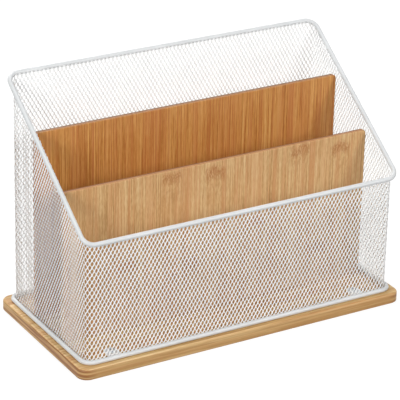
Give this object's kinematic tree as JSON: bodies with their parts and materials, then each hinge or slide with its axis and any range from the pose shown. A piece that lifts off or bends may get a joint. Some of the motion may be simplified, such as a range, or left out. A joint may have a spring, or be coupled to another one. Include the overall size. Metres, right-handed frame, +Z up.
{
  "type": "envelope sorter",
  "caption": "Desktop envelope sorter: a bamboo board carries a sloped white expanded-mesh wall with wire rims, and upright bamboo dividers part it into letter pockets open at the top.",
  "frame": {"origin": "on the underside of the base board, at its middle", "axes": "+X along the board's width to the right, +Y from the low front wall to the tall rear wall, +Z up"},
  "size_m": [0.33, 0.162, 0.2285],
  "materials": {
    "bamboo_board": "natural bamboo, satin lacquer, grain along the board",
    "bamboo_front_divider": "natural light bamboo, upright strips, satin",
    "bamboo_rear_divider": "caramel bamboo, upright strips, satin",
    "white_wire": "satin white powder coat",
    "white_mesh": "satin white powder coat",
    "white_lug": "satin white powder coat",
    "zinc_screw": "bright zinc"
  },
  "bodies": {
    "root": {"base_board": "bamboo_board", "front_divider": "bamboo_front_divider", "rear_divider": "bamboo_rear_divider", "bottom_ring": "white_wire", "top_rim": "white_wire", "mesh_wall": "white_mesh", "front_left_lug": "white_lug", "front_right_lug": "white_lug", "rear_left_lug": "white_lug", "rear_right_lug": "white_lug", "lug_screws": "zinc_screw", "divider_screws": "zinc_screw"}
  },
  "joints": []
}
